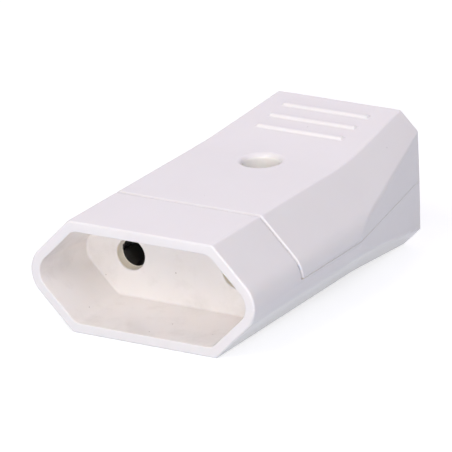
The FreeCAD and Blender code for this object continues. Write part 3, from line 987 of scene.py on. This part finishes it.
@dataclass
class Fittings:
    """Metal pieces and the cord clamp inside the housing."""

    form: HousingForm
    cover_screw: SlottedScrew = SlottedScrew(5.6, 2.4, 3.5, 0.6)
    terminal_screw: SlottedScrew = SlottedScrew(4.8, 1.8, 3.0, 0.5)
    clamp_screw: SlottedScrew = SlottedScrew(5.2, 1.8, 2.9, 1.1)
    sharp_angle: float = 32.0
    smooth_angle: float = 35.0
    edge_segments: int = 2
    nut_edge: float = 0.08
    clamp_edge: float = 0.2
    contact_edge: float = 0.06
    slot_reach: float = 2.8

    def soften(self, node: str, name: str, width: float) -> bpy.types.Object:
        """A copy of a CAD node with its edges broken.

        Args:
            node: the CAD node's name.
            name: the new piece's name.
            width: how widely each edge is rounded, in millimetres.

        Returns:
            The finished piece.
        """
        piece = copy_node(node, name)
        rounding = piece.modifiers.new("rounding", "BEVEL")
        rounding.limit_method = "ANGLE"
        rounding.angle_limit = math.radians(self.sharp_angle)
        rounding.width = mm(width)
        rounding.segments = self.edge_segments
        rounding.loop_slide = False
        bpy.ops.object.modifier_apply(modifier=rounding.name)
        shade_even(piece, self.smooth_angle)
        return piece

    def copy_across(self, piece: bpy.types.Object, name: str, shift: float) -> bpy.types.Object:
        """A copy of a piece with its own mesh, moved across in the mesh.

        Args:
            piece: the piece to copy.
            name: the copy's name.
            shift: millimetres along X.

        Returns:
            The copy.
        """
        copy = bpy.data.objects.new(name, piece.data.copy())
        copy.data.name = name
        bpy.context.scene.collection.objects.link(copy)
        make_active(copy)
        copy.location = (mm(shift), 0.0, 0.0)
        bpy.ops.object.transform_apply(location=True, rotation=True, scale=True)
        return copy

    def screws(self) -> list[bpy.types.Object]:
        """The cover's screw, then the left and right screws of the terminals and of the clamp.

        Returns:
            The five screws.
        """
        low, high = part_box("cover_screw")
        top = Vector((low.x + high.x, low.y + high.y, 2 * high.z)) * (METRE / 2)
        pieces = [self.cover_screw.build("cover_screw_slotted", top, low.z * METRE)]
        settle(pieces[0], Slot.PLATED, "cover_screw")
        for node, screw, kind in (("terminal_screws", self.terminal_screw, "terminal_screw"),
                                  ("clamp_screws", self.clamp_screw, "clamp_screw")):
            low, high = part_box(node)
            reach = high.x * METRE - screw.head_diameter / 2
            top = Vector((-reach, (low.y + high.y) * METRE / 2, high.z * METRE))
            left = screw.build("left_" + kind, top, low.z * METRE)
            right = self.copy_across(left, "right_" + kind, 2 * reach)
            for piece in (left, right):
                settle(piece, Slot.PLATED, node)
            pieces += [left, right]
        return pieces

    def paint_bore_shade(self, contact: bpy.types.Object) -> None:
        """Paint shade on the faces inside a contact's mouth, bore and slots, as the dull grey brass.

        Args:
            contact: the contact, with its turned finish in the first slot.
        """
        contact.data.materials.append(BORE_SHADE_BRASS.material())
        for face in contact.data.polygons:
            place = self.form.local(face.center)
            ahead = place.y < self.form.screw_station
            face.material_index = int(ahead and self.form.pin_distance(place) < self.slot_reach)

    def build(self) -> None:
        """Make the fittings and give each the finish of its metal or moulding."""
        steel = PLATED_STEEL.material()
        for piece in self.screws():
            piece.data.materials.clear()
            piece.data.materials.append(steel)
        nut = self.soften("cover_nut", "cover_nut_hex", self.nut_edge)
        nut.data.materials.append(steel)
        settle(nut, Slot.PLATED, "cover_nut")
        clamp = self.soften("cord_clamp", "cord_clamp_bar", self.clamp_edge)
        clamp.data.materials.append(PLAIN_WHITE.material())
        settle(clamp, Slot.CLAMP, "cord_clamp")
        for node, finish, slot in (("contact", TURNED_BRASS, Slot.BRASS),
                                   ("spring_ring", SPRING_STEEL, Slot.SPRING)):
            left = self.soften(node + "_left", "left_" + node, self.contact_edge)
            left.data.materials.append(finish.material())
            # The contact's bore gets painted shade: a dull grey brass.
            if slot is Slot.BRASS:
                self.paint_bore_shade(left)
            right = self.copy_across(left, "right_" + node, self.form.pin_spacing)
            settle(left, slot, node + "_left")
            settle(right, slot, node + "_right")


@dataclass(frozen=True)
class SoftBox:
    """Round lamp with a diffuser, aimed at the part."""

    name: str
    azimuth: float
    elevation: float
    power: float
    colour: str = "#FFFFFF"
    distance: float = 700.0
    size: float = 420.0


BOXES = (
    SoftBox("rear_box", -160.0, 50.0, 4.07, "#EDE0FF", distance=1200.0, size=1600.0),
    SoftBox("front_high_box", -8.0, 45.0, 2.0, "#FDFAFF"),
    SoftBox("front_low_box", 20.0, 10.0, 1.81, "#FAFCFF", size=220.0),
    SoftBox("right_box", 80.0, 40.0, 5.74, "#EDEDFA", distance=1200.0, size=1400.0),
    SoftBox("left_box", -75.0, 45.0, 1.5, distance=1200.0, size=1400.0),
)


@dataclass
class Studio:
    """White table, soft light and the photograph's camera."""

    azimuth: float = 31.491
    elevation: float = 20.136
    roll: float = -2.117
    distance: float = 897.835
    target: tuple[float, float, float] = (0.0, 30.0, 0.0)
    aim_right: float = -2.53
    aim_up: float = 0.28
    lens: float = 458.3
    sensor: float = 36.0
    floor_size: float = 6000.0
    table: str = "#C8C8C8"
    table_bounce: str = "#C0C7D2"
    table_lift: float = 0.69
    table_roughness: float = 0.9
    boxes: tuple[SoftBox, ...] = BOXES
    sky: str = "#FFFFFF"
    sky_strength: float = 0.1

    def direction(self, azimuth: float, elevation: float) -> Vector:
        """Unit vector from the part to a place round it, as degrees from the front and above."""
        a, e = math.radians(azimuth), math.radians(elevation)
        return Vector((math.sin(a) * math.cos(e), -math.cos(a) * math.cos(e), math.sin(e)))

    def camera(self, form: HousingForm) -> None:
        """Place the camera where the photograph was taken from.

        Args:
            form: the housing that it looks at.
        """
        back = self.direction(self.azimuth, self.elevation)
        level = Vector((math.cos(math.radians(self.azimuth)), math.sin(math.radians(self.azimuth)), 0.0))
        turn = Matrix.Rotation(math.radians(self.roll), 3, back)
        right = turn @ level
        up = turn @ back.cross(level)
        target = Vector(self.target) + Vector((0.0, -form.length / 2, form.parting))
        place = target + back * self.distance
        look = place - (target + right * self.aim_right + up * self.aim_up)
        back = look.normalized()
        right = up.cross(back).normalized()
        up = back.cross(right)
        data = bpy.data.cameras.new("camera")
        data.lens = self.lens
        data.sensor_width = self.sensor
        camera = bpy.data.objects.new("camera", data)
        turned = Matrix((right, up, back)).transposed().to_4x4()
        camera.matrix_world = Matrix.Translation(place / METRE) @ turned
        bpy.context.scene.collection.objects.link(camera)
        bpy.context.scene.camera = camera

    def seen_directly(self, tree: bpy.types.NodeTree) -> bpy.types.NodeSocket:
        """One for rays that the camera sees, straight, mirrored or through something clear, else zero.

        Args:
            tree: the node tree to add to.

        Returns:
            The output socket.
        """
        path = add_node(tree, "ShaderNodeLightPath")
        mirrored = add_node(tree, "ShaderNodeMath", {"operation": "MAXIMUM"}, {
            0: path.outputs["Is Glossy Ray"], 1: path.outputs["Is Transmission Ray"]})
        seen = add_node(tree, "ShaderNodeMath", {"operation": "MAXIMUM"}, {
            0: path.outputs["Is Camera Ray"], 1: mirrored.outputs[0]})
        return seen.outputs[0]

    def floor(self, form: HousingForm) -> None:
        """White table top: bright to the eye and to reflections, with a cool bounce and the part's shadow.

        The rear end is the highest, so a part left to itself leans forward onto its collar. The table
        is turned about the rear lower edge to meet both.

        Args:
            form: the housing that stands on the table.
        """
        lean = math.atan((form.rear_half_height - form.half_height) / form.length)
        deselect_all()
        bpy.ops.mesh.primitive_plane_add(
            size=mm(self.floor_size), rotation=(-lean, 0.0, 0.0),
            location=(0.0, 0.0, mm(form.length / 2 * math.tan(lean))))
        table = bpy.context.object
        table.name = "table"
        material, tree, shader = new_material("white_table")
        seen = self.seen_directly(tree)
        tint = add_node(tree, "ShaderNodeMix", {"data_type": "RGBA"}, {
            "Factor": seen, MIX_FIRST: linear(self.table_bounce), MIX_SECOND: linear(self.table)})
        tree.links.new(tint.outputs[MIX_RESULT], shader.inputs["Base Color"])
        shader.inputs["Roughness"].default_value = self.table_roughness
        shader.inputs["Specular IOR Level"].default_value = 0.0
        lift = add_node(tree, "ShaderNodeMath", {"operation": "MULTIPLY"}, {
            0: seen, 1: self.table_lift})
        shader.inputs["Emission Color"].default_value = WHITE
        tree.links.new(lift.outputs[0], shader.inputs["Emission Strength"])
        table.data.materials.append(material)

    def light(self) -> None:
        """Soft boxes round the part in an even pale room."""
        for box in self.boxes:
            data = bpy.data.lights.new(box.name, "AREA")
            data.shape = "DISK"
            data.size = mm(box.size)
            data.energy = box.power
            data.color = linear(box.colour)[:3]
            lamp = bpy.data.objects.new(box.name, data)
            back = self.direction(box.azimuth, box.elevation)
            lamp.location = back * mm(box.distance)
            lamp.rotation_euler = (-back).to_track_quat("-Z", "Y").to_euler()
            lamp.visible_camera = False
            bpy.context.scene.collection.objects.link(lamp)
        world = bpy.data.worlds.new("pale_room")
        world.use_nodes = True
        bpy.context.scene.world = world
        tree = world.node_tree
        room = tree.nodes["Background"]
        room.inputs["Color"].default_value = linear(self.sky)
        room.inputs["Strength"].default_value = self.sky_strength
        white = add_node(tree, "ShaderNodeBackground", inputs={"Color": WHITE, "Strength": 1.0})
        mixed = add_node(tree, "ShaderNodeMixShader", inputs={
            0: self.seen_directly(tree), 1: room.outputs[0], 2: white.outputs[0]})
        tree.links.new(mixed.outputs[0], tree.nodes["World Output"].inputs["Surface"])

    def build(self, form: HousingForm) -> None:
        """Set up the table, the light, the camera and the plain view transform.

        Args:
            form: the housing that stands on the table.
        """
        self.floor(form)
        self.light()
        self.camera(form)
        bpy.context.scene.view_settings.view_transform = "Standard"


def main() -> None:
    """Build every sub-assembly in order."""
    logging.basicConfig(level=logging.INFO, format="%(name)s: %(message)s")
    form = HousingForm()
    # The recess, the pin holes and the counterbore get brighter whites as painted light, and the inner
    # faces a greyer white as painted shade.
    finishes = {Zone.SKIN: GLOSS_WHITE, Zone.RECESS: SCUFFED_LIT_WHITE, Zone.HOLE: RUBBED_LIT_WHITE,
                Zone.CORE: CORE_SHADE_WHITE, Zone.BORE: BORE_LIT_WHITE}
    Shells(form, finishes).build()
    Fittings(form).build()
    Studio().build(form)


if __name__ == "__main__":
    main()
